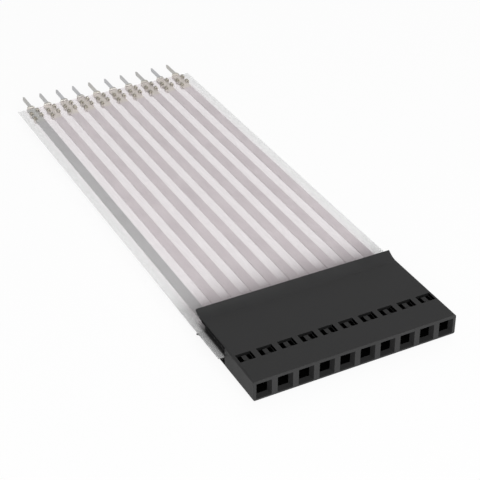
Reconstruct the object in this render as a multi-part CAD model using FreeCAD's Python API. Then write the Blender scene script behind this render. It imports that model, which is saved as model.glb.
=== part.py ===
import FreeCAD, Part
import math
import os

# A flat flex jumper: a ten way receptacle housing crimped to one end of a short clear flat
# cable, and ten solder tabs crimped to the other end. Millimetres. X runs along the ten
# positions, Y runs from the mating face along the cable, Z is up. The shapes are drawn with
# the housing's underside at zero, and each is lowered by half the housing's height as it is
# saved, so the origin ends up in the centre of the mating face, level with the cable's middle.

V = FreeCAD.Vector

# Driving sizes: the row
ways = 10
pitch = 2.54
first_x = -pitch * (ways - 1) / 2.0

# Driving sizes: the housing
housing_w = ways * pitch
housing_h = 2.54
edge_round = 0.20
edge_steps = 2
block_len = 6.60
plate_run = 5.40
floor_t = 0.30
roof_t = 0.40
plate_edge_t = 0.24
undercut_run = 0.60
flare_r = 2.50
flare_run = 1.62
rib_w = 0.50
rib_end_gap = 0.10
end_wall_t = 0.14
lip_corner_r = 0.12

# Driving sizes: one socket of the housing
mouth_w = 1.85
mouth_h = 1.96
mouth_floor = 0.19
lead_depth = 0.50
lead_in = 0.31
throat_len = 0.70

# Driving sizes: one latch window with its tongue
window_w = 1.85
window_front = 3.55
window_len = 1.35
tongue_w = 0.56
tongue_len = 1.21
tongue_drop = 0.22
tongue_slope = 0.38
tongue_root = 0.30
hook_t = 0.13
hook_drop = 0.28

# Driving sizes: the cable
cable_overhang = 0.70
cable_len = 63.80
film_t = 0.11
wire_w = 1.31
wire_t = 0.10
bulge_run = 0.12

# Driving sizes: the sheet metal and the crimps of the contacts and of the tabs
sheet = 0.20
base_w = 1.20
tine_t = 0.14
tine_len = 0.55
tine_step = 1.57
tine_stagger = 0.80
roll_r = 0.23
roll_rise = 0.18
base_margin = 0.15

# Driving sizes: the box of a receptacle contact
box_w = 1.60
box_wall = 0.15
beam_t = 0.12
beam_gap = 0.26
beam_mouth = 0.40
beam_pinch_y = 1.20
beam_tip_y = 0.40
beam_root_len = 0.60
neck_w = 0.90
neck_flat = 0.60

# Driving sizes: a solder tab
bend_cut = 0.08
pin_taper = 0.40
pin_reach = 3.42
pin_w = 0.50
pin_slant = 0.75
pin_bevel = 0.13
pin_nose = 0.10
pin_rise = 0.26

# Named clearances
fit = 0.02
slit_fit = 0.01
bond = 0.005
wire_fit = 0.03
box_fit = 0.05
box_stop_gap = 0.10
box_roof_gap = 0.34
hook_fit = 0.08
tongue_fit = 0.05
block_gap = 0.10
wall_fit = 0.04
crimp_inset = 0.25
crimp_end_inset = 0.78
riser_gap = 0.03

# The housing's levels and stations
plate_end = block_len + plate_run
roof_z = housing_h - roof_t
mouth_top = mouth_floor + mouth_h
throat_end = lead_depth + throat_len
cavity_w = box_w + 2.0 * box_fit
window_rear = window_front + window_len
tongue_end = window_front + tongue_len

flare_turn = math.degrees(math.asin(flare_run / flare_r))

# The contact's box inside its cavity
box_floor = floor_t + fit
box_top = roof_z - box_roof_gap
box_front = throat_end + box_stop_gap
box_rear = tongue_end - hook_t - hook_fit

# The cable's levels and ends
cable_w = housing_w + 2.0 * cable_overhang
cable_front = block_len + block_gap
cable_end = cable_front + cable_len
cable_mid = housing_h / 2.0
wire_bottom = cable_mid - wire_t / 2.0
wire_top = cable_mid + wire_t / 2.0
cable_bottom = wire_bottom - film_t
cable_top = wire_top + film_t
web_bottom = cable_mid - film_t
web_top = cable_mid + film_t

# The crimp's levels and widths, the same for contacts and tabs
base_top = cable_bottom
base_bottom = base_top - sheet
tine_in = wire_w / 2.0 + wire_fit
tine_out = tine_in + tine_t
roll_x = tine_out - roll_r
roll_z = cable_top + roll_rise
crimp_len = tine_step + tine_stagger + tine_len + 2.0 * base_margin
contact_crimp_y = cable_front + crimp_inset
tab_crimp_y = cable_end - crimp_end_inset - crimp_len

# The solder tab past the cable's end
riser_front = cable_end + riser_gap
riser_rear = riser_front + sheet
tab_tip = riser_front + pin_reach
pin_mid = cable_mid + pin_rise
pin_low = pin_mid - sheet / 2.0
pin_high = pin_mid + sheet / 2.0


def position(k):
    return first_x + k * pitch


def block(x0, x1, y0, y1, z0, z1):
    return Part.makeBox(x1 - x0, y1 - y0, z1 - z0, V(x0, y0, z0))


def prism_along_x(points, x0, x1):
    corners = [V(x0, y, z) for y, z in points]
    corners.append(corners[0])
    face = Part.Face(Part.makePolygon(corners))
    return face.extrude(V(x1 - x0, 0, 0))


def prism_along_z(points, z0, z1):
    corners = [V(x, y, z0) for x, y in points]
    corners.append(corners[0])
    face = Part.Face(Part.makePolygon(corners))
    return face.extrude(V(0, 0, z1 - z0))


# A plan outline from its right-hand side, repeated on the left of the position
def mirrored_plan(x, right_side):
    right = [(x + half, y) for half, y in right_side]
    left = [(x - half, y) for half, y in reversed(right_side)]
    return right + left


def save(shape, name):
    placed = shape.copy()
    placed.translate(V(0, 0, -housing_h / 2.0))
    placed.exportStep("parts/" + name + ".step")


# One rear plate seen from the end of the row: flat, then turned outwards in an arc
def plate(z_out, thickness, side):
    zc = z_out + side * flare_r
    inner_r = flare_r
    outer_r = flare_r + thickness
    z_in = z_out - side * thickness
    pts = []
    for r in (inner_r, outer_r):
        for part in (0.0, 0.5, 1.0):
            a = math.radians(flare_turn * part)
            pts.append(V(0, plate_end + r * math.sin(a), zc - side * r * math.cos(a)))
    start_out = V(0, block_len, z_out)
    start_in = V(0, block_len, z_in)
    edges = [
        Part.makeLine(start_out, pts[0]),
        Part.Arc(pts[0], pts[1], pts[2]).toShape(),
        Part.makeLine(pts[2], pts[5]),
        Part.Arc(pts[5], pts[4], pts[3]).toShape(),
        Part.makeLine(pts[3], start_in),
        Part.makeLine(start_in, start_out),
    ]
    face = Part.Face(Part.Wire(edges))
    face.translate(V(-housing_w / 2.0, 0, 0))
    solid = face.extrude(V(housing_w, 0, 0))
    lip_corners = []
    for edge in solid.Edges:
        ends = [vertex.Point for vertex in edge.Vertexes]
        at_side = abs(ends[0].x - ends[1].x) < 0.01
        if at_side and min(ends[0].y, ends[1].y) > plate_end + flare_run / 2.0:
            lip_corners.append(edge)
    return solid.makeFillet(lip_corner_r, lip_corners)


# What a cutter drawn across a rear plate takes away as it runs along the plate and its flare
def run_along_plate(outline, z_out, side):
    corners = [V(x, block_len, z) for x, z in outline]
    corners.append(corners[0])
    cutter = Part.Face(Part.makePolygon(corners))
    flat = cutter.extrude(V(0, plate_run, 0))
    cutter.translate(V(0, plate_run, 0))
    flare_axis = V(0, plate_end, z_out + side * flare_r)
    flared = cutter.revolve(flare_axis, V(side, 0, 0), flare_turn + 5.0)
    return flat.fuse(flared)


# The rounded outer edge of a plate at one end of the row, as a cutter
def outer_edge_cutter(end, z_out, side):
    x = end * housing_w / 2.0
    outline = [(x + end * 0.01, z_out - side * edge_round), (x + end * 0.01, z_out + side * 0.01),
               (x - end * edge_round, z_out + side * 0.01)]
    for n in range(edge_steps + 1):
        a = math.pi / 2.0 * n / edge_steps
        outline.append((x - end * edge_round * (1.0 - math.sin(a)),
                        z_out - side * edge_round * (1.0 - math.cos(a))))
    return outline


# The slope that thins a plate from inside towards its edge, as a cutter
def undercut_cutter(end, z_out, side, thickness):
    x = end * housing_w / 2.0
    edge_z = z_out - side * plate_edge_t
    inner_z = z_out - side * thickness
    return [(x + end * 0.01, edge_z), (x, edge_z), (x - end * undercut_run, inner_z),
            (x - end * undercut_run, inner_z - side * 0.01), (x + end * 0.01, inner_z - side * 0.01)]


# One socket: a tapered lead-in, a throat that stops the contact, and the contact's cavity
def socket(x):
    half = mouth_w / 2.0
    lead = Part.makeWedge(
        x - half, 0.0, mouth_floor,
        mouth_floor + lead_in, x - half + lead_in,
        x + half, lead_depth, mouth_top,
        mouth_top - lead_in, x + half - lead_in,
    )
    throat = block(x - half + lead_in, x + half - lead_in, lead_depth - 0.1, throat_end + 0.1,
                   mouth_floor + lead_in, mouth_top - lead_in)
    cavity = block(x - cavity_w / 2.0, x + cavity_w / 2.0, throat_end, block_len + 0.2,
                   floor_t, roof_z)
    return lead.fuse(throat).fuse(cavity)


# The window over a cavity, and the springy tongue left standing in it
def window(x):
    return block(x - window_w / 2.0, x + window_w / 2.0, window_front, window_rear,
                 roof_z - 0.01, housing_h + 0.1)


def tongue(x):
    top = housing_h - tongue_drop
    under = box_top + tongue_fit
    points = [
        (window_front - tongue_root, housing_h),
        (window_front, housing_h),
        (window_front + tongue_slope, top),
        (tongue_end, top),
        (tongue_end, box_top - hook_drop),
        (tongue_end - hook_t, box_top - hook_drop),
        (tongue_end - hook_t, under),
        (window_front - tongue_root, under),
    ]
    return prism_along_x(points, x - tongue_w / 2.0, x + tongue_w / 2.0)


# The housing, one moulding
def make_housing():
    half = housing_w / 2.0
    front = block(-half, half, 0.0, block_len, 0.0, housing_h)
    long_edges = []
    for edge in front.Edges:
        a = edge.Vertexes[0].Point
        b = edge.Vertexes[1].Point
        if abs(a.y - b.y) > block_len - 0.1:
            long_edges.append(edge)
    front = front.makeFillet(edge_round, long_edges)
    body = front.fuse(plate(0.0, floor_t, -1.0)).fuse(plate(housing_h, roof_t, 1.0))
    # the ends of the plates and of their flares: rounded outside, thinned from inside
    for end in (-1.0, 1.0):
        for z_out, side, thickness in ((0.0, -1.0, floor_t), (housing_h, 1.0, roof_t)):
            for outline in (outer_edge_cutter(end, z_out, side),
                            undercut_cutter(end, z_out, side, thickness)):
                body = body.cut(run_along_plate(outline, z_out, side))
    # ribs between the positions guide the cable in the rear mouth
    for k in range(ways - 1):
        x = position(k) + pitch / 2.0
        body = body.fuse(block(x - rib_w / 2.0, x + rib_w / 2.0, block_len - 0.1, plate_end - rib_end_gap,
                               floor_t - 0.1, web_bottom - fit))
        body = body.fuse(block(x - rib_w / 2.0, x + rib_w / 2.0, block_len - 0.1, plate_end - rib_end_gap,
                               web_top + fit, roof_z + 0.1))
    # a thin wall beyond the first and the last crimp closes the rear mouth at each end
    wall_in = position(ways - 1) + tine_out + wall_fit
    wall_out = wall_in + end_wall_t
    for x in (-wall_out, wall_in):
        body = body.fuse(block(x, x + end_wall_t, block_len - 0.1, plate_end - rib_end_gap,
                               floor_t - 0.1, web_bottom - fit))
        body = body.fuse(block(x, x + end_wall_t, block_len - 0.1, plate_end - rib_end_gap,
                               web_top + fit, housing_h - plate_edge_t))
    cuts = []
    for k in range(ways):
        cuts.append(socket(position(k)))
        cuts.append(window(position(k)))
    body = body.cut(Part.makeCompound(cuts))
    tongues = []
    for k in range(ways):
        tongues.append(tongue(position(k)))
    body = body.fuse(tongues)
    return body.removeSplitter()


# One rolled tine: out from the base's edge, up through the cable, over in a half turn, and
# down onto the cable again
def tine(x, y0, side, outer_steps, inner_steps):
    centre = x + side * roll_x
    inner_r = roll_r - tine_t
    root = x + side * (base_w / 2.0 - fit)
    points = [(root, base_bottom), (x + side * tine_out, base_bottom)]
    for n in range(outer_steps + 1):
        a = math.pi * n / outer_steps
        points.append((centre + side * roll_r * math.cos(a), roll_z + roll_r * math.sin(a)))
    points.append((centre - side * roll_r, cable_top + fit))
    points.append((centre - side * inner_r, cable_top + fit))
    for n in range(inner_steps + 1):
        a = math.pi * (1.0 - n / inner_steps)
        points.append((centre + side * inner_r * math.cos(a), roll_z + inner_r * math.sin(a)))
    points.extend([(x + side * tine_in, base_top), (root, base_top)])
    corners = [V(px, y0, pz) for px, pz in points]
    corners.append(corners[0])
    return Part.Face(Part.makePolygon(corners)).extrude(V(0, tine_len, 0))


# Where the four tines of one crimp stand: side of the position, and start along the cable
def tine_places(y0):
    places = []
    for n in range(2):
        places.append((-1.0, y0 + base_margin + n * tine_step))
        places.append((1.0, y0 + base_margin + tine_stagger + n * tine_step))
    return places


def tines(x, y0, outer_steps, inner_steps):
    return [tine(x, y, side, outer_steps, inner_steps) for side, y in tine_places(y0)]


def slits(x, y0):
    cuts = []
    for side, y in tine_places(y0):
        x0 = x + side * tine_in
        x1 = x + side * tine_out
        cuts.append(block(min(x0, x1) - slit_fit, max(x0, x1) + slit_fit, y - slit_fit,
                          y + tine_len + slit_fit, cable_bottom - 0.1, cable_top + 0.1))
    return cuts


# The cable: two films that wrap the flat conductors from below and above and meet between
# them, so each film has a raised band outside, and a shallow channel inside, per conductor
def make_film(side):
    half = cable_w / 2.0
    channel = wire_w / 2.0 + bond
    step = channel + bulge_run
    inner = cable_mid + side * bond / 2.0
    channel_z = cable_mid + side * (wire_t / 2.0)
    outer = cable_mid + side * film_t
    band_z = cable_mid + side * (wire_t / 2.0 + film_t)
    inside = [(-half, inner)]
    outside = [(-half, outer)]
    for k in range(ways):
        x = position(k)
        inside.extend([(x - channel, inner), (x - channel, channel_z)])
        inside.extend([(x + channel, channel_z), (x + channel, inner)])
        outside.extend([(x - step, outer), (x - wire_w / 2.0, band_z)])
        outside.extend([(x + wire_w / 2.0, band_z), (x + step, outer)])
    inside.append((half, inner))
    outside.append((half, outer))
    corners = [V(x, cable_front, z) for x, z in inside + outside[::-1]]
    corners.append(corners[0])
    film = Part.Face(Part.makePolygon(corners)).extrude(V(0, cable_end - cable_front, 0))
    cuts = []
    for k in range(ways):
        cuts.extend(slits(position(k), contact_crimp_y))
        cuts.extend(slits(position(k), tab_crimp_y))
    return film.cut(Part.makeCompound(cuts))


def make_conductor(k):
    x = position(k)
    return block(x - wire_w / 2.0, x + wire_w / 2.0, cable_front, cable_end,
                 wire_bottom + bond, wire_top - bond)


# A receptacle contact: a folded box with two spring beams, a neck, and the crimp on the cable
def make_contact(k):
    x = position(k)
    half = box_w / 2.0
    box = block(x - half, x + half, box_front, box_rear, box_floor, box_top)
    box = box.cut(block(x - half + box_wall, x + half - box_wall, box_front - 0.1, box_rear + 0.1,
                        box_floor + sheet, box_top - box_wall))
    beams = []
    wall = half - box_wall
    root = box_rear - box_wall
    for s in (-1.0, 1.0):
        outline = [
            (wall + box_wall / 2.0, root),
            (wall - beam_t, root),
            (wall - beam_t, root - beam_root_len),
            (beam_gap, box_front + beam_pinch_y),
            (beam_mouth, box_front + beam_tip_y),
            (beam_mouth + beam_t, box_front + beam_tip_y),
            (beam_gap + beam_t, box_front + beam_pinch_y),
            (wall, root - beam_root_len),
            (wall + box_wall / 2.0, root - beam_root_len),
        ]
        points = [(x + s * px, py) for px, py in outline]
        beams.append(prism_along_z(points, box_floor + sheet + 0.25, box_top - box_wall - 0.25))
    end = contact_crimp_y + crimp_len
    neck_end = box_rear + neck_flat
    side_view = [
        (box_rear - box_wall, box_floor),
        (neck_end, box_floor),
        (block_len + sheet / 2.0, base_bottom),
        (end, base_bottom),
        (end, base_top),
        (block_len, base_top),
        (neck_end - sheet / 2.0, box_floor + sheet),
        (box_rear - box_wall, box_floor + sheet),
    ]
    strip = prism_along_x(side_view, x - base_w / 2.0, x + base_w / 2.0)
    neck = neck_w / 2.0
    right_side = [
        (half, box_rear - box_wall),
        (half, box_rear),
        (neck, box_rear + neck_flat / 2.0),
        (neck, block_len + sheet),
        (base_w / 2.0, contact_crimp_y),
        (base_w / 2.0, end),
    ]
    strip = strip.common(prism_along_z(mirrored_plan(x, right_side), 0.0, housing_h))
    shape = box.fuse(beams + [strip] + tines(x, contact_crimp_y, 4, 3))
    return shape.removeSplitter()


# A solder tab: the same crimp, a riser that stands up past the cable's end, and a flat pin
# that runs on from the riser's top, with its point cut at a slant on the left side
def make_tab(k):
    x = position(k)
    y0 = tab_crimp_y
    side_view = [
        (y0, base_bottom),
        (riser_rear - bend_cut, base_bottom),
        (riser_rear, base_bottom + bend_cut),
        (riser_rear, pin_low),
        (tab_tip, pin_low),
        (tab_tip, pin_high),
        (riser_front + bend_cut, pin_high),
        (riser_front, pin_high - bend_cut),
        (riser_front, base_top),
        (y0, base_top),
    ]
    strip = prism_along_x(side_view, x - base_w / 2.0, x + base_w / 2.0)
    base = base_w / 2.0
    pin = pin_w / 2.0
    taper_end = riser_front + pin_taper
    plan = [
        (x - base, y0),
        (x + base, y0),
        (x + base, riser_front),
        (x + pin, taper_end),
        (x + pin, tab_tip - pin_bevel),
        (x + pin - pin_bevel, tab_tip),
        (x + pin - pin_bevel - pin_nose, tab_tip),
        (x - pin, tab_tip - pin_slant),
        (x - pin, taper_end),
        (x - base, riser_front),
    ]
    strip = strip.common(prism_along_z(plan, 0.0, housing_h))
    shape = strip.fuse(tines(x, y0, 6, 4))
    return shape.removeSplitter()


os.makedirs("parts", exist_ok=True)
save(make_housing(), "housing")
save(make_film(-1.0), "lower_film")
save(make_film(1.0), "upper_film")
for k in range(ways):
    number = "%02d" % (k + 1)
    save(make_conductor(k), "conductor_" + number)
    save(make_contact(k), "receptacle_contact_" + number)
    save(make_tab(k), "solder_tab_" + number)
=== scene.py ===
import math

import bmesh
import bpy
from bpy.props import FloatProperty, FloatVectorProperty, IntProperty, PointerProperty
from bpy.types import Operator, Panel, PropertyGroup
from mathutils import Matrix, Vector


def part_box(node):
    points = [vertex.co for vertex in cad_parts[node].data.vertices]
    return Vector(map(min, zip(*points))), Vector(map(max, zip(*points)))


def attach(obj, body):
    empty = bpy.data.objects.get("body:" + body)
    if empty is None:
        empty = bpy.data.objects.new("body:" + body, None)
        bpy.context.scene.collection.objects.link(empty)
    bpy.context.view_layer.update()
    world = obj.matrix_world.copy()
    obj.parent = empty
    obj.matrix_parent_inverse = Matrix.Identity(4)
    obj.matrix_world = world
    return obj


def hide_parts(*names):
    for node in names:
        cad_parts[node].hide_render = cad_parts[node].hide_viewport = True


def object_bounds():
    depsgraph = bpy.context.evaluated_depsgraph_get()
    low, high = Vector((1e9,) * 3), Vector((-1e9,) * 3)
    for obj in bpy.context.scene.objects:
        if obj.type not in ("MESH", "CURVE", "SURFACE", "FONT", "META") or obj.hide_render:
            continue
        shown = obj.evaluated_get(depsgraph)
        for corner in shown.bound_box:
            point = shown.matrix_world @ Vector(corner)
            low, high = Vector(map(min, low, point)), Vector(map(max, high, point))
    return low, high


bl_info = {
    "name": "Flat Flex Jumper",
    "version": (1, 0, 0),
    "blender": (4, 5, 0),
    "location": "View3D > Sidebar > Jumper",
    "description":
        "Dresses a clear flat jumper cable with its receptacle housing and solder tabs",
    "category": "Object",
}

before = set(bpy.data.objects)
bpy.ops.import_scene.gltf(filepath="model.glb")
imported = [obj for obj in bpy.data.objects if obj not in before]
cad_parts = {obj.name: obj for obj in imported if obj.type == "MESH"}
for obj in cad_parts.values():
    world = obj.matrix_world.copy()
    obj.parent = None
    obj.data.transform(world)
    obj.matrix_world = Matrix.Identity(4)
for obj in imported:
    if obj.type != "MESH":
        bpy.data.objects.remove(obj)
CAD_LOW, CAD_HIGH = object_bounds()

MM = 0.001
WAYS = 10
PITCH = 2.54 * MM
FIRST_X = -PITCH * (WAYS - 1) / 2.0
HOUSING_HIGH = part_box("housing")[1]
FILM_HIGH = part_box("upper_film")[1]
TAB_LOW, TAB_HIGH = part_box("solder_tab_01")
WHITE = (1.0, 1.0, 1.0)

# Places in the housing, which tell its faces apart
BLOCK_TOP = PITCH / 2.0
BLOCK_END = 6.60 * MM
FRONT_DEPTH = 0.06 * MM
LEAD_END = 1.0 * MM
WINDOW_START = 2.5 * MM
WINDOW_LOW = 0.3 * MM
TONGUE_LOW = 0.5 * MM
SIDE_WALL = 0.6 * MM
SKIN_DEPTH = 0.12 * MM

# Marks on the housing's faces: how far inside they lie, and so how much painted shade they take
OUTSIDE, HALF_INSIDE, WINDOW_WALL, PLATE_EDGE, DEEP = 0.0, 0.5, 0.75, 0.88, 1.0

# Marks on the solder tabs' faces: how much of the tines' painted shade they take
RISER, LEFT_TINE, RIGHT_TINE = 0.6, 1.0, 0.75

# Where the metals and the film change their tone along Y and across X, as start and end
CONDUCTOR_END = (TAB_LOW.y - 0.6 * MM, TAB_LOW.y + 0.1 * MM)
# painted shade of the housing on the conductors behind its lip
HOUSING_LEE = (HOUSING_HIGH.y, HOUSING_HIGH.y + 7.1 * MM)
# painted shade on the contacts inside the housing
CONTACT_SHADE_END = (6.3 * MM, 7.0 * MM)
RISER_FOOT = (FILM_HIGH.y - 0.25 * MM, FILM_HIGH.y + 0.02 * MM)
# painted shade on the film where it runs between the housing's plates
PLATE_SHADE_END = (HOUSING_HIGH.y - 2.4 * MM, HOUSING_HIGH.y + 0.2 * MM)
PLATE_SHADE_SIDE = (HOUSING_HIGH.x - 0.10 * MM, HOUSING_HIGH.x + 0.25 * MM)
MARGIN_FADE = 0.5 * MM


def numbered(stem):
    """The ten node names of one kind of piece, in the order of the row."""
    return [f"{stem}_{k:02d}" for k in range(1, WAYS + 1)]


# Shader helpers


def new_material(name):
    """A node material with its Principled shader, ready for links."""
    material = bpy.data.materials.new(name)
    material.use_nodes = True
    nodes = material.node_tree.nodes
    return material, nodes, material.node_tree.links, nodes["Principled BSDF"]


def add_node(nodes, kind, **values):
    node = nodes.new(kind)
    for key, value in values.items():
        setattr(node, key, value)
    return node


def arrange(tree):
    """Lays a tree's nodes out in columns, by the number of links between them and its end."""
    depth = dict.fromkeys(tree.nodes.keys(), 0)
    for _ in range(len(depth)):
        for link in tree.links:
            before, after = link.from_node.name, link.to_node.name
            depth[before] = max(depth[before], depth[after] + 1)
    rows = {}
    for name, column in depth.items():
        rows[column] = rows.get(column, -1) + 1
        tree.nodes[name].location = (-240.0 * column, -300.0 * rows[column])


def object_coordinates(nodes):
    return add_node(nodes, "ShaderNodeTexCoord").outputs["Object"]


def axes_of(nodes, links, vector):
    """The sockets X, Y and Z of a vector."""
    split = add_node(nodes, "ShaderNodeSeparateXYZ")
    links.new(vector, split.inputs["Vector"])
    return split.outputs


def attribute_of(nodes, name):
    return add_node(nodes, "ShaderNodeAttribute", attribute_name=name).outputs["Fac"]


def feed(links, socket, value):
    """Links a socket to another one, or gives it a plain number or colour."""
    if isinstance(value, bpy.types.NodeSocket):
        links.new(value, socket)
    else:
        socket.default_value = (*value, 1.0) if socket.type == "RGBA" else value


def add_math(nodes, links, operation, *values):
    """One step of arithmetic on values, which are sockets or numbers."""
    step = add_node(nodes, "ShaderNodeMath", operation=operation)
    for socket, value in zip(step.inputs, values):
        feed(links, socket, value)
    return step.outputs[0]


def add_ramp(nodes, links, value, start, end, low=0.0, high=1.0, kind="LINEAR"):
    """Maps a value that runs from start to end onto the range from low to high."""
    ramp = add_node(nodes, "ShaderNodeMapRange", interpolation_type=kind)
    limits = {"From Min": start, "From Max": end, "To Min": low, "To Max": high}
    for name, limit in limits.items():
        ramp.inputs[name].default_value = limit
    links.new(value, ramp.inputs["Value"])
    return ramp.outputs["Result"]


def spread(nodes, links, noise, low=0.0, high=1.0):
    """Maps a noise, which keeps to about 0.3 to 0.7, onto the range from low to high."""
    return add_ramp(nodes, links, noise, 0.3, 0.7, low, high)


def add_mix(nodes, links, factor, a, b, blend="MIX"):
    """Mixes two colours by a factor; all three are sockets or plain values."""
    mix = add_node(nodes, "ShaderNodeMix", data_type="RGBA", blend_type=blend)
    feed(links, mix.inputs[0], factor)
    feed(links, mix.inputs[6], a)
    feed(links, mix.inputs[7], b)
    return mix.outputs[2]


def add_bump(nodes, links, height, shader, strength, distance):
    bump = add_node(nodes, "ShaderNodeBump")
    bump.inputs["Strength"].default_value = strength
    bump.inputs["Distance"].default_value = distance
    links.new(height, bump.inputs["Height"])
    links.new(bump.outputs["Normal"], shader.inputs["Normal"])


def group_socket(tree, name, kind, direction, value=None):
    socket = tree.interface.new_socket(name=name, in_out=direction, socket_type=kind)
    if value is not None:
        socket.default_value = value


def noise_group(name, scales, detail, roughness=0.5, stretch=1.0):
    """A shared group: a fine noise as Height and a slow one as Tone, with their two scales.

    The fine one is drawn out along Y where stretch is below 1.
    """
    if name in bpy.data.node_groups:
        return bpy.data.node_groups[name]
    tree = bpy.data.node_groups.new(name, "ShaderNodeTree")
    group_socket(tree, "Vector", "NodeSocketVector", "INPUT")
    for scale, value in scales.items():
        group_socket(tree, scale, "NodeSocketFloat", "INPUT", value)
    group_socket(tree, "Height", "NodeSocketFloat", "OUTPUT")
    group_socket(tree, "Tone", "NodeSocketFloat", "OUTPUT")
    nodes, links = tree.nodes, tree.links
    entry = add_node(nodes, "NodeGroupInput").outputs
    leave = add_node(nodes, "NodeGroupOutput").inputs
    drawn = add_node(nodes, "ShaderNodeMapping")
    drawn.inputs["Scale"].default_value = (1.0, stretch, 1.0)
    links.new(entry["Vector"], drawn.inputs["Vector"])
    fine = (drawn.outputs["Vector"], detail, roughness, leave["Height"])
    slow = (entry["Vector"], 2.0, 0.5, leave["Tone"])
    for scale, (vector, octaves, harshness, result) in zip(scales, (fine, slow)):
        noise = add_node(nodes, "ShaderNodeTexNoise")
        noise.inputs["Detail"].default_value = octaves
        noise.inputs["Roughness"].default_value = harshness
        links.new(vector, noise.inputs["Vector"])
        links.new(entry[scale], noise.inputs["Scale"])
        links.new(noise.outputs["Fac"], result)
    arrange(tree)
    return tree


def add_group(nodes, links, tree, place, **scales):
    """Puts a noise group at a place, with its scales, and gives its outputs."""
    group = add_node(nodes, "ShaderNodeGroup", node_tree=tree)
    links.new(place, group.inputs["Vector"])
    for key, value in scales.items():
        group.inputs[key.replace("_", " ").title()].default_value = value
    return group.outputs


def add_grain(nodes, links, place, **scales):
    """An even fine grain, with its height and a soft tone of patches."""
    tree = noise_group("Fine Grain", {"Grains Per Metre": 9000.0, "Patches Per Metre": 300.0},
                       detail=4.0, roughness=0.6)
    return add_group(nodes, links, tree, place, **scales)


def add_drawn_lines(nodes, links, place, **scales):
    """Fine lines along Y, as rolled strip has, and a slow drift of tone under them."""
    tree = noise_group("Drawn Lines", {"Lines Per Metre": 9000.0, "Drift Per Metre": 160.0},
                       detail=3.0, stretch=0.02)
    return add_group(nodes, links, tree, place, **scales)


# Materials

FILM_IOR = 1.55
# share of a conductor's colour at the housing's lip, as painted shade
LEE_SHADE = 0.62
WARM_TIN = (0.98, 0.95, 0.88)


def make_housing_plastic(finish):
    """Black moulded plastic, darker and without gloss as painted shade on faces marked as inner.
    """
    material, nodes, links, shader = new_material("housing_plastic")
    grain = add_grain(nodes, links, object_coordinates(nodes),
                      grains_per_metre=finish.grains_per_metre, patches_per_metre=260.0)
    dark = [c * 0.90 for c in finish.plastic_colour]
    pale = [c * 1.10 for c in finish.plastic_colour]
    grained = add_mix(nodes, links, spread(nodes, links, grain["Tone"]), dark, pale)
    # inner: painted shade on faces in the sockets, windows, lead-ins, rear mouth and plate edges
    inner = attribute_of(nodes, "inner")
    colour = add_mix(nodes, links, inner, grained, finish.inner_painted_shade)
    links.new(colour, shader.inputs["Base Color"])
    rough = spread(nodes, links, grain["Tone"], finish.plastic_roughness - 0.05,
                   finish.plastic_roughness + 0.05)
    links.new(rough, shader.inputs["Roughness"])
    # the painted shade also takes the gloss away from the inner faces
    gloss = add_ramp(nodes, links, inner, OUTSIDE, DEEP, finish.plastic_gloss, 0.0)
    links.new(gloss, shader.inputs["Specular IOR Level"])
    add_bump(nodes, links, grain["Height"], shader, strength=0.25, distance=0.02 * MM)
    arrange(material.node_tree)
    return material


def make_clear_film(finish):
    """Clear film: tinted between the conductors, plain along its edges, with painted shade in
    the gap.

    The gap is where the film runs in between the housing's two plates.
    """
    material, nodes, links, shader = new_material("clear_film")
    place = object_coordinates(nodes)
    axes = axes_of(nodes, links, place)
    across = add_math(nodes, links, "ABSOLUTE", axes["X"])
    grain = add_grain(nodes, links, place, grains_per_metre=2400.0, patches_per_metre=180.0)
    margin = add_ramp(nodes, links, across, finish.margin_start - MARGIN_FADE,
                      finish.margin_start + MARGIN_FADE)
    tinted = add_mix(nodes, links, margin, finish.web_colour, finish.margin_colour)
    haze = spread(nodes, links, grain["Tone"], 0.0, 0.10)
    pale = add_mix(nodes, links, haze, tinted, WHITE)
    # painted shade: the film turns dark and nearly opaque between the plates, standing in for
    # their shade
    beside = add_ramp(nodes, links, across, *PLATE_SHADE_SIDE, 1.0, 0.0, kind="SMOOTHSTEP")
    boxed = add_ramp(nodes, links, axes["Y"], *PLATE_SHADE_END, 1.0, 0.0)
    gap = add_math(nodes, links, "MULTIPLY", beside, boxed)
    shaded = add_mix(nodes, links, gap, pale, finish.painted_gap_shade)
    links.new(shaded, shader.inputs["Base Color"])
    veil = spread(nodes, links, grain["Height"], finish.film_veil * 0.94,
                  finish.film_veil * 1.06)
    links.new(add_math(nodes, links, "MAXIMUM", veil, gap), shader.inputs["Alpha"])
    shader.inputs["Roughness"].default_value = finish.film_roughness
    shader.inputs["IOR"].default_value = FILM_IOR
    shader.inputs["Specular IOR Level"].default_value = finish.film_gloss
    add_bump(nodes, links, grain["Height"], shader, strength=0.12, distance=0.02 * MM)
    arrange(material.node_tree)
    return material


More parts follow.
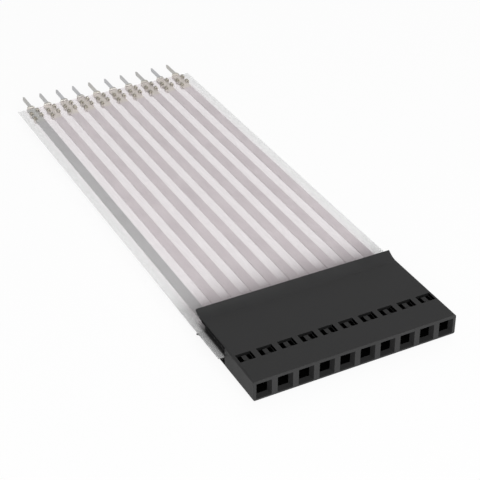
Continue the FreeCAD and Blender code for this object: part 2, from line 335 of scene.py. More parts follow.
def make_strip_metal(name, colour, near, change, roughness, metallic, lines_per_metre,
                     painted_tine_shade=None, lee=None):
    """Tinned strip with fine drawn lines; near is its colour before the place of change in Y.

    Faces marked as tines take the painted tine shade. Within lee, a start and an end in Y, the
    strip comes out of the housing's painted shade.
    """
    material, nodes, links, shader = new_material(name)
    place = object_coordinates(nodes)
    along = axes_of(nodes, links, place)["Y"]
    lines = add_drawn_lines(nodes, links, place, lines_per_metre=lines_per_metre,
                            drift_per_metre=220.0)
    warmer = [c * share for c, share in zip(colour, WARM_TIN)]
    base = add_mix(nodes, links, attribute_of(nodes, "shade"), colour, warmer)
    base = add_mix(nodes, links, add_ramp(nodes, links, along, *change), near, base)
    if lee is not None:
        # painted shade near the housing, fading out along lee
        leaving = add_ramp(nodes, links, along, *lee, kind="SMOOTHSTEP")
        base = add_mix(nodes, links, leaving, [c * LEE_SHADE for c in near], base)
    if painted_tine_shade is not None:
        base = add_mix(nodes, links, attribute_of(nodes, "tine"), base, painted_tine_shade)
    tone = spread(nodes, links, lines["Tone"])
    drift = add_mix(nodes, links, tone, (0.93, 0.93, 0.93), (1.06, 1.06, 1.06))
    whole = add_mix(nodes, links, 1.0, base, drift, blend="MULTIPLY")
    links.new(whole, shader.inputs["Base Color"])
    rough = spread(nodes, links, lines["Height"], roughness - 0.06, roughness + 0.06)
    links.new(rough, shader.inputs["Roughness"])
    shader.inputs["Metallic"].default_value = metallic
    shader.inputs["Specular IOR Level"].default_value = 0.2
    add_bump(nodes, links, lines["Height"], shader, strength=0.15, distance=0.01 * MM)
    arrange(material.node_tree)
    return material


# Piece helpers


def give_material(piece, material):
    piece.data.materials.clear()
    piece.data.materials.append(material)


def finish_node(node, material):
    """Gives a packed node its finish; its shape and place stay."""
    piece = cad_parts.get(node)
    if piece is None:
        raise RuntimeError(f"the frame has no node named {node}")
    for slot in piece.material_slots:
        slot.material = material
    if not piece.material_slots:
        piece.data.materials.append(material)


def link_piece(name, mesh):
    piece = bpy.data.objects.new(name, mesh)
    bpy.context.scene.collection.objects.link(piece)
    return piece


def set_input(modifier, name, value):
    """Sets a Geometry Nodes input by the identifier of the socket with that name."""
    for item in modifier.node_group.interface.items_tree:
        if item.item_type == "SOCKET" and item.in_out == "INPUT" and item.name == name:
            modifier[item.identifier] = value
            return
    raise RuntimeError(f"the node tree has no input named {name}")


def frozen(piece):
    """Turns a piece's evaluated shape into a plain mesh without modifiers."""
    graph = bpy.context.evaluated_depsgraph_get()
    mesh = bpy.data.meshes.new_from_object(piece.evaluated_get(graph))
    old = piece.data
    piece.modifiers.clear()
    piece.data = mesh
    if old.users == 0:
        bpy.data.meshes.remove(old)
    mesh.name = piece.name


def round_edges(piece, name, width, least_bend):
    """Rounds the edges that bend by more than an angle in degrees."""
    rounding = piece.modifiers.new(name, "BEVEL")
    rounding.width = width
    rounding.segments = 2
    rounding.limit_method = "ANGLE"
    rounding.angle_limit = math.radians(least_bend)
    rounding.use_clamp_overlap = True


def add_loft(sheet, rings):
    """Skins a row of four-cornered rings and closes both ends."""
    corners = [[sheet.verts.new(point) for point in ring] for ring in rings]
    for near, far in zip(corners, corners[1:]):
        for k in range(4):
            sheet.faces.new((near[k], near[(k + 1) % 4], far[(k + 1) % 4], far[k]))
    sheet.faces.new(corners[0])
    sheet.faces.new(reversed(corners[-1]))


def make_row_tree():
    """Repeats a piece along X, notes a random shade for each copy, and joins them."""
    tree = bpy.data.node_groups.new("Row Of Copies", "GeometryNodeTree")
    group_socket(tree, "Geometry", "NodeSocketGeometry", "INPUT")
    group_socket(tree, "Count", "NodeSocketInt", "INPUT", WAYS)
    group_socket(tree, "Pitch", "NodeSocketFloat", "INPUT", PITCH)
    group_socket(tree, "First X", "NodeSocketFloat", "INPUT", 0.0)
    group_socket(tree, "Seed", "NodeSocketInt", "INPUT", 0)
    group_socket(tree, "Material", "NodeSocketMaterial", "INPUT")
    group_socket(tree, "Geometry", "NodeSocketGeometry", "OUTPUT")
    nodes, links = tree.nodes, tree.links
    entry = add_node(nodes, "NodeGroupInput").outputs
    leave = add_node(nodes, "NodeGroupOutput").inputs
    line = add_node(nodes, "GeometryNodeMeshLine", mode="OFFSET")
    links.new(entry["Count"], line.inputs["Count"])
    for distance, use in (("First X", "Start Location"), ("Pitch", "Offset")):
        vector = add_node(nodes, "ShaderNodeCombineXYZ")
        links.new(entry[distance], vector.inputs["X"])
        links.new(vector.outputs["Vector"], line.inputs[use])
    copies = add_node(nodes, "GeometryNodeInstanceOnPoints")
    links.new(line.outputs["Mesh"], copies.inputs["Points"])
    links.new(entry["Geometry"], copies.inputs["Instance"])
    chance = add_node(nodes, "FunctionNodeRandomValue", data_type="FLOAT")
    links.new(entry["Seed"], chance.inputs["Seed"])
    note = add_node(nodes, "GeometryNodeStoreNamedAttribute", data_type="FLOAT",
                    domain="INSTANCE")
    note.inputs["Name"].default_value = "shade"
    links.new(copies.outputs["Instances"], note.inputs["Geometry"])
    links.new(next(s for s in chance.outputs if s.enabled), note.inputs["Value"])
    real = add_node(nodes, "GeometryNodeRealizeInstances")
    links.new(note.outputs["Geometry"], real.inputs["Geometry"])
    dress = add_node(nodes, "GeometryNodeSetMaterial")
    links.new(real.outputs["Geometry"], dress.inputs["Geometry"])
    links.new(entry["Material"], dress.inputs["Material"])
    links.new(dress.outputs["Geometry"], leave["Geometry"])
    arrange(tree)
    return tree


def split_sides(mesh):
    """Cuts the housing's two side faces where its solid block ends and its plates run on."""
    sheet = bmesh.new()
    sheet.from_mesh(mesh)
    sides = [face for face in sheet.faces
             if abs(face.calc_center_median().x) > HOUSING_HIGH.x - SKIN_DEPTH]
    parts = {part for face in sides for part in (face, *face.edges, *face.verts)}
    bmesh.ops.bisect_plane(sheet, geom=list(parts), plane_co=(0.0, BLOCK_END, 0.0),
                           plane_no=(0.0, 1.0, 0.0))
    sheet.to_mesh(mesh)
    sheet.free()


def painted_shade_of(face):
    """How far inside the housing a face of it lies, and so how much painted shade it takes."""
    x, y, z = abs(face.center.x), face.center.y, face.center.z
    outward = face.normal.z if z > 0.0 else -face.normal.z
    on_end = x > HOUSING_HIGH.x - SKIN_DEPTH
    on_front = y < FRONT_DEPTH
    on_side = on_end and (y < BLOCK_END or z < 0.0)
    on_skin = abs(z) > BLOCK_TOP - SKIN_DEPTH and outward > 0.1
    on_tongue = TONGUE_LOW < z < BLOCK_TOP and outward > 0.5
    if on_front or on_side or on_skin or on_tongue:
        return OUTSIDE
    if y < LEAD_END and face.normal.y < -0.2:
        return HALF_INSIDE
    if y > BLOCK_END and x > HOUSING_HIGH.x - SIDE_WALL:
        return PLATE_EDGE if on_end else HALF_INSIDE
    in_window = z > WINDOW_LOW and WINDOW_START < y < BLOCK_END
    return WINDOW_WALL if in_window and face.normal.x >= -0.5 else DEEP


def mark_painted_shade(mesh):
    """Notes on each face of the housing how far inside it lies, as its share of painted shade.
    """
    marks = mesh.attributes.new("inner", "FLOAT", "FACE")
    for face in mesh.polygons:
        marks.data[face.index].value = painted_shade_of(face)


# Settings


class JumperView(PropertyGroup):
    """The camera, as it stands to the object in the photograph."""

    azimuth: FloatProperty(
        name="Azimuth", description="Direction of view round the object, 0 along +Y",
        default=math.radians(-27.28), subtype="ANGLE")
    elevation: FloatProperty(
        name="Elevation", description="Height of the camera above the horizon",
        default=math.radians(33.266), subtype="ANGLE")
    roll: FloatProperty(
        name="Roll", description="Turn of the picture about the line of sight",
        default=math.radians(-0.26), subtype="ANGLE")
    distance: FloatProperty(
        name="Distance", description="From the point looked at to the camera",
        default=163.21 * MM, unit="LENGTH")
    target: FloatVectorProperty(
        name="Target", description="The point in the middle of the picture",
        default=(-0.661 * MM, 26.221 * MM, 0.0), subtype="TRANSLATION")
    lens: FloatProperty(name="Lens", description="Focal length in millimetres", default=100.44)


class JumperStage(PropertyGroup):
    """The floor, the lamps and the surroundings."""

    floor_size: FloatProperty(
        name="Floor size", description="Side of the square floor", default=3.0, unit="LENGTH")
    floor_colour: FloatVectorProperty(
        name="Floor colour", description="The floor as it lights the object",
        default=(0.86, 0.86, 0.86), subtype="COLOR")
    floor_glow: FloatProperty(
        name="Floor glow", description="Share of plain white that the camera sees in the floor",
        default=0.90, min=0.0, max=1.0)
    # shade_start and shade_end bound a painted shade on the floor behind the housing
    shade_start: FloatProperty(
        name="Shade start", description="Behind the housing, where the floor lies in its shade",
        default=4.6 * MM, unit="LENGTH")
    shade_end: FloatProperty(
        name="Shade end", description="Behind the housing, where its shade has faded",
        default=12.6 * MM, unit="LENGTH")
    sky_level: FloatProperty(
        name="Sky level", description="Strength of the even surroundings", default=0.31)
    sky_sheen: FloatProperty(
        name="Sky sheen", description="Strength of the low surroundings in gloss", default=1.0)
    zenith_sheen: FloatProperty(
        name="Zenith sheen", description="Strength overhead in gloss", default=0.12)
    key_level: FloatProperty(
        name="Key level", description="Light of the low lamp at the front left", default=1.57)
    key_azimuth: FloatProperty(
        name="Key azimuth", description="Degrees that the low lamp stands left of the front",
        default=12.0)
    key_elevation: FloatProperty(
        name="Key elevation", description="Degrees that the low lamp stands above the floor",
        default=24.0)
    key_size: FloatProperty(
        name="Key size", description="Side of the low lamp", default=0.46, unit="LENGTH")
    top_level: FloatProperty(
        name="Top level", description="Light of the soft lamp overhead", default=0.19)
    top_azimuth: FloatProperty(
        name="Top azimuth", description="Degrees of the lamp overhead left of the front",
        default=-140.0)
    top_elevation: FloatProperty(
        name="Top elevation", description="Degrees of the lamp overhead above the floor",
        default=62.0)
    top_size: FloatProperty(
        name="Top size", description="Side of the lamp overhead", default=0.55, unit="LENGTH")
    lamp_distance: FloatProperty(
        name="Lamp distance", description="From the middle of the object to both lamps",
        default=0.60, unit="LENGTH")


class JumperPlastic(PropertyGroup):
    """The housing's moulded plastic."""

    plastic_colour: FloatVectorProperty(
        name="Plastic colour", description="The black plastic of the housing",
        default=(0.0205, 0.0205, 0.0208), subtype="COLOR")
    # painted shade: the near-black that faces marked inner take, where the housing is in deep
    # shade
    inner_painted_shade: FloatVectorProperty(
        name="Inner colour", description="The plastic deep in the sockets and the rear mouth",
        default=(0.001, 0.001, 0.001), subtype="COLOR")
    plastic_roughness: FloatProperty(
        name="Roughness", description="How dull the moulding is", default=0.55, min=0.0, max=1.0)
    plastic_gloss: FloatProperty(
        name="Gloss", description="Strength of the reflection", default=0.19, min=0.0, max=1.0)
    grains_per_metre: FloatProperty(
        name="Grain", description="Fineness of the moulded grain", default=16000.0)
    edge_radius: FloatProperty(
        name="Edge radius", description="Rounding left by the mould on every edge",
        default=0.035 * MM, unit="LENGTH")


class JumperFilm(PropertyGroup):
    """The clear films and the flat conductors between them."""

    web_colour: FloatVectorProperty(
        name="Web colour", description="Film between and over the conductors",
        default=(0.785, 0.70, 0.73), subtype="COLOR")
    margin_colour: FloatVectorProperty(
        name="Margin colour", description="Film along both edges of the cable",
        default=(0.70, 0.70, 0.70), subtype="COLOR")
    # painted shade of the film between the plates
    painted_gap_shade: FloatVectorProperty(
        name="Gap colour", description="Film where it runs into the gap between the plates",
        default=(0.03, 0.03, 0.03), subtype="COLOR")
    margin_start: FloatProperty(
        name="Margin start", description="Distance of the plain margin from the middle",
        default=12.3 * MM, unit="LENGTH")
    film_veil: FloatProperty(
        name="Veil", description="How much one face of the film hides", default=0.165)
    film_gloss: FloatProperty(
        name="Film gloss", description="Strength of the film's reflection", default=0.10,
        min=0.0, max=1.0)
    film_roughness: FloatProperty(
        name="Film roughness", description="Dullness of the film", default=0.34)
    conductor_colour: FloatVectorProperty(
        name="Conductor colour", description="Dull tin of the conductors",
        default=(0.618, 0.584, 0.594), subtype="COLOR")
    marked_colour: FloatVectorProperty(
        name="Marked conductor", description="The darker first conductor",
        default=(0.392, 0.424, 0.414), subtype="COLOR")
    end_colour: FloatVectorProperty(
        name="Conductor end", description="Warmer tin of the conductors inside the crimps",
        default=(0.66, 0.635, 0.56), subtype="COLOR")
    marked_end_colour: FloatVectorProperty(
        name="Marked conductor end", description="The first conductor inside its crimp",
        default=(0.445, 0.485, 0.44), subtype="COLOR")
    conductor_roughness: FloatProperty(
        name="Conductor roughness", description="Dullness of the conductors", default=0.45)
    conductor_metallic: FloatProperty(
        name="Conductor sheen", description="Share of the conductors' tone that is metal sheen",
        default=0.05, min=0.0, max=1.0)
    lines_per_metre: FloatProperty(
        name="Lines", description="Fineness of the conductors' drawn lines", default=7000.0)


class JumperMetal(PropertyGroup):
    """The sheet metal of the contacts and of the solder tabs."""

    tin_colour: FloatVectorProperty(
        name="Tin colour", description="Tinned sheet metal of the receptacle contacts",
        default=(0.56, 0.56, 0.55), subtype="COLOR")
    # painted shade: the near-black that stands in for the shade on the contacts inside the
    # housing
    boxed_painted_shade: FloatVectorProperty(
        name="Boxed colour", description="Duller tin of the contacts inside the housing",
        default=(0.02, 0.02, 0.0197), subtype="COLOR")
    pin_colour: FloatVectorProperty(
        name="Pin colour", description="Tin of the solder pins",
        default=(0.56, 0.565, 0.58), subtype="COLOR")
    crimp_colour: FloatVectorProperty(
        name="Crimp colour", description="Warm bright metal of the bases under the cable",
        default=(0.60, 0.575, 0.53), subtype="COLOR")
    # painted shade on the rolled tines and the riser, stronger on the left tines
    painted_tine_shade: FloatVectorProperty(
        name="Tine colour", description="Dull metal of the rolled tines",
        default=(0.36, 0.335, 0.285), subtype="COLOR")
    tin_roughness: FloatProperty(
        name="Roughness", description="Dullness of the tin", default=0.36)
    tab_roughness: FloatProperty(
        name="Tab roughness", description="Dullness of the solder tabs", default=0.45)
    tab_metallic: FloatProperty(
        name="Tab sheen", description="Share of the tabs' tone that is metal sheen",
        default=0.60, min=0.0, max=1.0)
    lines_per_metre: FloatProperty(
        name="Lines", description="Fineness of the sheet metal's drawn lines", default=9000.0)


class JumperTabs(PropertyGroup):
    """The row of solder tabs, crimped to the cable's end."""

    ways: IntProperty(name="Tabs", description="Number of tabs in the row", default=WAYS)
    sheet: FloatProperty(
        name="Sheet", description="Thickness of the base and the pin",
        default=0.20 * MM, unit="LENGTH")
    riser_gap: FloatProperty(
        name="Riser gap", description="From the cable's end to the riser",
        default=0.03 * MM, unit="LENGTH")
    base_width: FloatProperty(
        name="Base width", description="Width of the base and the riser",
        default=1.20 * MM, unit="LENGTH")
    bend_radius: FloatProperty(
        name="Bend radius", description="Inner radius of the riser's two bends",
        default=0.03 * MM, unit="LENGTH")
    bend_steps: IntProperty(
        name="Bend steps", description="Steps round one bend of the riser", default=8)
    pin_taper: FloatProperty(
        name="Pin taper", description="Run from the riser's width to the pin's",
        default=0.40 * MM, unit="LENGTH")
    pin_width: FloatProperty(
        name="Pin width", description="Width of the pin", default=0.50 * MM, unit="LENGTH")
    pin_slant: FloatProperty(
        name="Pin slant", description="Run of the slanting cut on the left of the point",
        default=0.75 * MM, unit="LENGTH")
    pin_bevel: FloatProperty(
        name="Pin bevel", description="Small bevel on the right of the point",
        default=0.13 * MM, unit="LENGTH")
    pin_nose: FloatProperty(
        name="Pin nose", description="Width that is left at the pin's end",
        default=0.10 * MM, unit="LENGTH")
    pin_level: FloatProperty(
        name="Pin level", description="The pin's middle above the cable's middle",
        default=0.26 * MM, unit="LENGTH")
    tine_start: FloatProperty(
        name="First tine", description="From the start of the crimp to its first tine",
        default=0.15 * MM, unit="LENGTH")
    tine_sheet: FloatProperty(
        name="Tine sheet", description="Thickness of a tine", default=0.14 * MM, unit="LENGTH")
    tine_length: FloatProperty(
        name="Tine length", description="Length of a tine along the cable",
        default=0.55 * MM, unit="LENGTH")
    tine_step: FloatProperty(
        name="Tine step", description="From one tine to the next on the same side",
        default=1.57 * MM, unit="LENGTH")
    tine_stagger: FloatProperty(
        name="Tine stagger", description="How far the right tines start after the left ones",
        default=0.80 * MM, unit="LENGTH")
    roll_radius: FloatProperty(
        name="Roll radius", description="Outer radius of a rolled tine",
        default=0.23 * MM, unit="LENGTH")
    tine_tip: FloatProperty(
        name="Tine tip", description="Width that is left at the free end of a tine",
        default=0.42 * MM, unit="LENGTH")
    roll_steps: IntProperty(
        name="Roll steps", description="Steps round the half turn of a tine", default=14)
    soft_edge: FloatProperty(
        name="Soft edge", description="Rounding of the stamped edges",
        default=0.025 * MM, unit="LENGTH")


# Operators


class JUMPER_OT_camera(Operator):
    """Places the camera as the photograph was taken"""

    bl_idname = "jumper.camera"
    bl_label = "Camera"

    def execute(self, context):
        view = context.scene.jumper_view
        data = bpy.data.cameras.new("photo_view")
        data.lens = view.lens
        data.sensor_width = 36.0
        data.clip_start = 1.0 * MM
        data.clip_end = 10.0
        camera = bpy.data.objects.new("photo_view", data)
        context.scene.collection.objects.link(camera)
        flat = math.cos(view.elevation)
        back = Vector((math.sin(view.azimuth) * flat, -math.cos(view.azimuth) * flat,
                       math.sin(view.elevation)))
        turn = (-back).to_track_quat("-Z", "Y").to_matrix().to_4x4()
        roll = Matrix.Rotation(view.roll, 4, "Z")
        place = Matrix.Translation(Vector(view.target) + back * view.distance)
        camera.matrix_world = place @ turn @ roll
        context.scene.camera = camera
        return {"FINISHED"}


class JUMPER_OT_stage(Operator):
    """Builds the pale floor, the even surroundings and two soft lamps"""

    bl_idname = "jumper.stage"
    bl_label = "Stage"

    def execute(self, context):
        stage = context.scene.jumper_stage
        context.scene.view_settings.view_transform = "Standard"
        self.make_floor(stage)
        context.scene.world = self.make_world(stage)
        self.make_lamp("key_lamp", stage.key_azimuth, stage.key_elevation,
                       stage.lamp_distance, stage.key_size, stage.key_level)
        self.make_lamp("top_lamp", stage.top_azimuth, stage.top_elevation,
                       stage.lamp_distance, stage.top_size, stage.top_level)
        return {"FINISHED"}

    def make_floor(self, stage):
        half, level = stage.floor_size / 2.0, CAD_LOW.z
        corners = [(-half, -half, level), (half, -half, level), (half, half, level),
                   (-half, half, level)]
        mesh = bpy.data.meshes.new("floor")
        mesh.from_pydata(corners, [], [(0, 1, 2, 3)])
        floor = link_piece("floor", mesh)
        give_material(floor, self.make_floor_finish(stage))

    def make_floor_finish(self, stage):
        """Matte where it lights the object, white where it is seen or mirrored.

        Through the clear film the floor shows a painted shade behind the housing.
        """
        material, nodes, links, shader = new_material("pale_floor")
        nodes.remove(shader)
        matte = add_node(nodes, "ShaderNodeBsdfDiffuse")
        feed(links, matte.inputs["Color"], stage.floor_colour)
        glow = add_node(nodes, "ShaderNodeEmission")
        feed(links, glow.inputs["Color"], WHITE)
        rays = add_node(nodes, "ShaderNodeLightPath").outputs
        seen = add_math(nodes, links, "MAXIMUM", rays["Is Camera Ray"], rays["Is Glossy Ray"])
        seen = add_math(nodes, links, "MAXIMUM", seen, rays["Is Transmission Ray"])
        # painted shade: behind the housing the glow is taken away where the floor is seen
        # through the film
        veiled = add_math(nodes, links, "GREATER_THAN", rays["Transparent Depth"], 0.5)
        along = axes_of(nodes, links, object_coordinates(nodes))["Y"]
        behind = add_ramp(nodes, links, along, HOUSING_HIGH.y + stage.shade_start,
                          HOUSING_HIGH.y + stage.shade_end, 1.0, 0.0)
        fading = add_math(nodes, links, "POWER", behind, 3.0)
        shade = add_math(nodes, links, "MULTIPLY", veiled, fading)
        unshaded = add_math(nodes, links, "SUBTRACT", 1.0, shade)
        shown = add_math(nodes, links, "MULTIPLY", seen, unshaded)
        share = add_math(nodes, links, "MULTIPLY", shown, stage.floor_glow)
        mix = add_node(nodes, "ShaderNodeMixShader")
        links.new(share, mix.inputs["Fac"])
        links.new(matte.outputs["BSDF"], mix.inputs[1])
        links.new(glow.outputs["Emission"], mix.inputs[2])
        links.new(mix.outputs["Shader"], nodes["Material Output"].inputs["Surface"])
        arrange(material.node_tree)
        return material

    def make_world(self, stage):
        """Even light all round, plain white where it is seen, graded by height in gloss."""
        world = bpy.data.worlds.new("even_surroundings")
        world.use_nodes = True
        nodes, links = world.node_tree.nodes, world.node_tree.links
        rays = add_node(nodes, "ShaderNodeLightPath").outputs
        place = add_node(nodes, "ShaderNodeTexCoord").outputs["Generated"]
        height = axes_of(nodes, links, place)["Z"]
        sheen = add_ramp(nodes, links, height, 0.0, 1.0, stage.sky_sheen, stage.zenith_sheen)
        level = add_node(nodes, "ShaderNodeMix", data_type="FLOAT")
        feed(links, level.inputs[0], rays["Is Glossy Ray"])
        feed(links, level.inputs[2], stage.sky_level)
        feed(links, level.inputs[3], sheen)
        seen = add_math(nodes, links, "MAXIMUM", level.outputs[0], rays["Is Camera Ray"])
        seen = add_math(nodes, links, "MAXIMUM", seen, rays["Is Transmission Ray"])
        background = nodes["Background"].inputs
        feed(links, background["Strength"], seen)
        feed(links, background["Color"], WHITE)
        arrange(world.node_tree)
        return world

    def make_lamp(self, name, azimuth, elevation, distance, size, level):
        """A square soft lamp; level 1 lights a face turned to it as its colour is written."""
        data = bpy.data.lights.new(name, "AREA")
        data.size = size
        data.energy = level * math.pi**2 * distance**2
        lamp = bpy.data.objects.new(name, data)
        bpy.context.scene.collection.objects.link(lamp)
        a, e = math.radians(azimuth), math.radians(elevation)
        back = Vector((-math.sin(a) * math.cos(e), -math.cos(a) * math.cos(e), math.sin(e)))
        middle = (CAD_LOW + CAD_HIGH) / 2.0
        turn = (-back).to_track_quat("-Z", "Y").to_matrix().to_4x4()
        lamp.matrix_world = Matrix.Translation(middle + back * distance) @ turn


class JUMPER_OT_housing(Operator):
    """Rounds the housing's edges as its mould leaves them and gives it its plastic"""

    bl_idname = "jumper.housing"
    bl_label = "Housing"

    def execute(self, context):
        finish = context.scene.jumper_plastic
        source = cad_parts["housing"]
        piece = link_piece("receptacle_housing", source.data.copy())
        sheet = bmesh.new()
        sheet.from_mesh(piece.data)
        bmesh.ops.remove_doubles(sheet, verts=sheet.verts, dist=0.0005 * MM)
        bmesh.ops.dissolve_limit(sheet, angle_limit=math.radians(0.5), verts=sheet.verts,
                                 edges=sheet.edges)
        bmesh.ops.recalc_face_normals(sheet, faces=sheet.faces)
        sheet.to_mesh(piece.data)
        sheet.free()
        round_edges(piece, "mould_edges", finish.edge_radius, least_bend=32.0)
        frozen(piece)
        split_sides(piece.data)
        mark_painted_shade(piece.data)
        give_material(piece, make_housing_plastic(finish))
        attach(piece, "root")
        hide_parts("housing")
        return {"FINISHED"}


class JUMPER_OT_films(Operator):
    """Gives both films their clear finish"""

    bl_idname = "jumper.films"
    bl_label = "Films"

    def execute(self, context):
        material = make_clear_film(context.scene.jumper_film)
        finish_node("lower_film", material)
        finish_node("upper_film", material)
        return {"FINISHED"}


class JUMPER_OT_conductors(Operator):
    """Gives the conductors their dull tin, and the first one its darker mark"""

    bl_idname = "jumper.conductors"
    bl_label = "Conductors"

    def execute(self, context):
        film = context.scene.jumper_film
        first, *others = numbered("conductor")
        metals = (
            ("conductor_metal", film.end_colour, film.conductor_colour, others),
            ("marked_conductor", film.marked_end_colour, film.marked_colour, [first]),
        )
        for name, end, near, conductors in metals:
            material = make_strip_metal(name, end, near, CONDUCTOR_END,
                                        film.conductor_roughness, film.conductor_metallic,
                                        film.lines_per_metre, lee=HOUSING_LEE)
            for node in conductors:
                finish_node(node, material)
        return {"FINISHED"}


class JUMPER_OT_contacts(Operator):
    """Gives the receptacle contacts their tin, with painted shade where they lie deep in the
    housing
    """

    bl_idname = "jumper.contacts"
    bl_label = "Receptacle contacts"

    def execute(self, context):
        metal = context.scene.jumper_metal
        material = make_strip_metal("contact_metal", metal.tin_colour, metal.boxed_painted_shade,
                                    CONTACT_SHADE_END, metal.tin_roughness, 1.0,
                                    metal.lines_per_metre)
        for node in numbered("receptacle_contact"):
            finish_node(node, material)
        return {"FINISHED"}


class JUMPER_OT_tabs(Operator):
    """Makes one solder tab with its rolled tines and repeats it along the row"""

    bl_idname = "jumper.tabs"
    bl_label = "Solder tabs"

    def execute(self, context):
        tabs = context.scene.jumper_tabs
        metal = context.scene.jumper_metal
        material = make_strip_metal("tab_metal", metal.pin_colour, metal.crimp_colour,
                                    RISER_FOOT, metal.tab_roughness, metal.tab_metallic,
                                    metal.lines_per_metre, painted_tine_shade=metal.painted_tine_shade)
        piece = link_piece("solder_tab_row", self.make_tab(tabs))
        round_edges(piece, "stamped_edges", tabs.soft_edge, least_bend=40.0)
        row = piece.modifiers.new("row", "NODES")
        row.node_group = make_row_tree()
        inputs = {"Count": tabs.ways, "Pitch": PITCH, "First X": FIRST_X, "Seed": 7,
                  "Material": material}
        for name, value in inputs.items():
            set_input(row, name, value)
        frozen(piece)
        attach(piece, "root")
        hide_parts(*numbered("solder_tab"))
        return {"FINISHED"}

    def make_tab(self, tabs):
        """One tab at the middle of the row: base, riser and pin, then four rolled tines."""
        sheet = bmesh.new()
        marks = sheet.faces.layers.float.new("tine")
        self.add_strip(sheet, tabs)
        riser_start = FILM_HIGH.y - 0.1 * MM
        riser_end = FILM_HIGH.y + tabs.riser_gap + tabs.sheet + tabs.bend_radius
        # the riser's faces take part of the painted tine shade
        for face in sheet.faces:
            if riser_start < face.calc_center_median().y < riser_end:
                face[marks] = RISER
        strip = set(sheet.faces)
        for turn in range(2):
            left_start = TAB_LOW.y + tabs.tine_start + turn * tabs.tine_step
            self.add_tine(sheet, tabs, -1.0, left_start)
            self.add_tine(sheet, tabs, 1.0, left_start + tabs.tine_stagger)
        # the tines' faces above the film take the painted tine shade, more of it on the left
        for face in sheet.faces:
            middle = face.calc_center_median()
            if face not in strip and middle.z > FILM_HIGH.z:
                face[marks] = LEFT_TINE if middle.x < 0.0 else RIGHT_TINE
        bmesh.ops.recalc_face_normals(sheet, faces=sheet.faces)
        mesh = bpy.data.meshes.new("one_tab")
        sheet.to_mesh(mesh)
        sheet.free()
        return mesh

    def plan_of(self, tabs):
        """Where the strip's left and right edges run, as (y, left, right) along the tab."""
        base = tabs.base_width / 2.0
        pin = tabs.pin_width / 2.0
        riser = FILM_HIGH.y + tabs.riser_gap
        tip = TAB_HIGH.y
        nose = pin - tabs.pin_bevel
        cut = tabs.pin_bevel / tabs.pin_slant
        left_at_bevel = (nose - tabs.pin_nose) * (1.0 - cut) - pin * cut
        return [
            (TAB_LOW.y, -base, base),
            (riser, -base, base),
            (riser + tabs.pin_taper, -pin, pin),
            (tip - tabs.pin_slant, -pin, pin),
            (tip - tabs.pin_bevel, left_at_bevel, pin),
            (tip, nose - tabs.pin_nose, nose),
        ]

    def add_strip(self, sheet, tabs):
        """The flat base, the riser that stands up past the cable's end, and the pin."""
        plan = self.plan_of(tabs)
        base_low, base_high = TAB_LOW.z, TAB_LOW.z + tabs.sheet
        pin_low = tabs.pin_level - tabs.sheet / 2.0
        pin_high = tabs.pin_level + tabs.sheet / 2.0
        front = FILM_HIGH.y + tabs.riser_gap
        rear = front + tabs.sheet
        inner, outer = tabs.bend_radius, tabs.bend_radius + tabs.sheet
        sections = [((TAB_LOW.y, base_low), (TAB_LOW.y, base_high))]
        for step in range(tabs.bend_steps + 1):
            angle = math.pi / 2.0 * (step / tabs.bend_steps - 1.0)
            y, z = front - inner, base_high + inner
            sections.append(((y + outer * math.cos(angle), z + outer * math.sin(angle)),
                             (y + inner * math.cos(angle), z + inner * math.sin(angle))))
        for step in range(tabs.bend_steps + 1):
            angle = math.pi / 2.0 * (2.0 - step / tabs.bend_steps)
            y, z = rear + inner, pin_low - inner
            sections.append(((y + inner * math.cos(angle), z + inner * math.sin(angle)),
                             (y + outer * math.cos(angle), z + outer * math.sin(angle))))
        sections.extend(((y, pin_low), (y, pin_high)) for y, _, _ in plan[2:])
        rings = []
        for (under_y, under_z), (over_y, over_z) in sections:
            under_left, under_right = self.edges_at(plan, under_y)
            over_left, over_right = self.edges_at(plan, over_y)
            rings.append([(under_left, under_y, under_z), (under_right, under_y, under_z),
                          (over_right, over_y, over_z), (over_left, over_y, over_z)])
        add_loft(sheet, rings)

    def edges_at(self, plan, y):
        """The strip's left and right edges at one place along the tab."""
        for (y0, left0, right0), (y1, left1, right1) in zip(plan, plan[1:]):
            if y <= y1:
                share = max(y - y0, 0.0) / (y1 - y0)
                return left0 + share * (left1 - left0), right0 + share * (right1 - right0)
        return plan[-1][1:]

    def add_tine(self, sheet, tabs, side, start):
        """Out from the base, up past the conductor, over in a half turn, and down, narrowing."""
        outer_x = (TAB_HIGH.x - TAB_LOW.x) / 2.0
        inner_x = outer_x - tabs.tine_sheet
        centre_x = outer_x - tabs.roll_radius
        centre_z = TAB_HIGH.z - tabs.roll_radius
        inner_radius = tabs.roll_radius - tabs.tine_sheet
        corner, lap = 0.06 * MM, 0.02 * MM
        root_x = tabs.base_width / 2.0 - lap
        tip_z = FILM_HIGH.z + lap
        low, high = TAB_LOW.z, TAB_LOW.z + tabs.sheet
        full, tip = tabs.tine_length / 2.0, tabs.tine_tip / 2.0
        path = [(root_x, root_x, low, high, full),
                (outer_x - corner, inner_x, low, high, full),
                (outer_x, inner_x, low + corner, high, full),
                (outer_x, inner_x, FILM_HIGH.z, FILM_HIGH.z, full)]
        for step in range(tabs.roll_steps + 1):
            share = step / tabs.roll_steps
            angle = math.pi * share
            path.append((centre_x + tabs.roll_radius * math.cos(angle),
                         centre_x + inner_radius * math.cos(angle),
                         centre_z + tabs.roll_radius * math.sin(angle),
                         centre_z + inner_radius * math.sin(angle),
                         full + (tip - full) * share * share))
        path.append((centre_x - tabs.roll_radius, centre_x - inner_radius, tip_z, tip_z, tip))
        middle = start + full
        rings = []
        for out_x, in_x, out_z, in_z, half in path:
            near, far = middle - half, middle + half
            rings.append([(side * out_x, near, out_z), (side * out_x, far, out_z),
                          (side * in_x, far, in_z), (side * in_x, near, in_z)])
        add_loft(sheet, rings)


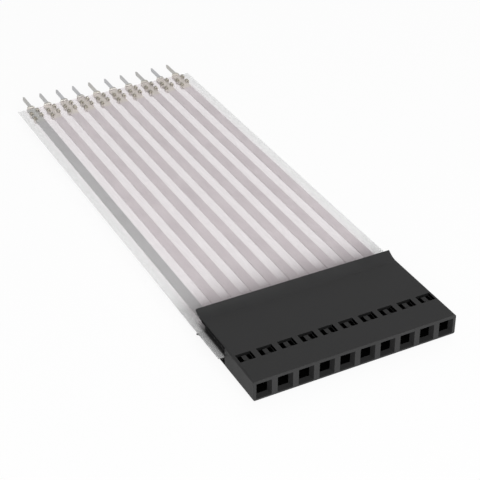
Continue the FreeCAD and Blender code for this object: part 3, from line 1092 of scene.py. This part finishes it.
class JUMPER_PT_sidebar(Panel):
    """Lists the jumper's pieces and their settings"""

    bl_idname = "JUMPER_PT_sidebar"
    bl_label = "Flat Flex Jumper"
    bl_space_type = "VIEW_3D"
    bl_region_type = "UI"
    bl_category = "Jumper"

    def draw(self, context):
        layout = self.layout
        for kind in STEPS:
            layout.operator(kind.bl_idname)
        for name, kind in SETTINGS.items():
            box = layout.box()
            box.label(text=kind.__doc__)
            for key in kind.__annotations__:
                box.prop(getattr(context.scene, name), key)


SETTINGS = {
    "jumper_view": JumperView,
    "jumper_stage": JumperStage,
    "jumper_plastic": JumperPlastic,
    "jumper_film": JumperFilm,
    "jumper_metal": JumperMetal,
    "jumper_tabs": JumperTabs,
}
STEPS = (
    JUMPER_OT_camera,
    JUMPER_OT_stage,
    JUMPER_OT_housing,
    JUMPER_OT_films,
    JUMPER_OT_conductors,
    JUMPER_OT_contacts,
    JUMPER_OT_tabs,
)


def register():
    for kind in (*SETTINGS.values(), *STEPS, JUMPER_PT_sidebar):
        bpy.utils.register_class(kind)
    for name, kind in SETTINGS.items():
        setattr(bpy.types.Scene, name, PointerProperty(type=kind))


def unregister():
    for name in SETTINGS:
        delattr(bpy.types.Scene, name)
    for kind in reversed((*SETTINGS.values(), *STEPS, JUMPER_PT_sidebar)):
        bpy.utils.unregister_class(kind)


def main():
    register()
    bpy.ops.jumper.camera()
    bpy.ops.jumper.stage()
    bpy.ops.jumper.housing()
    bpy.ops.jumper.films()
    bpy.ops.jumper.conductors()
    bpy.ops.jumper.contacts()
    bpy.ops.jumper.tabs()


if __name__ == "__main__":
    main()
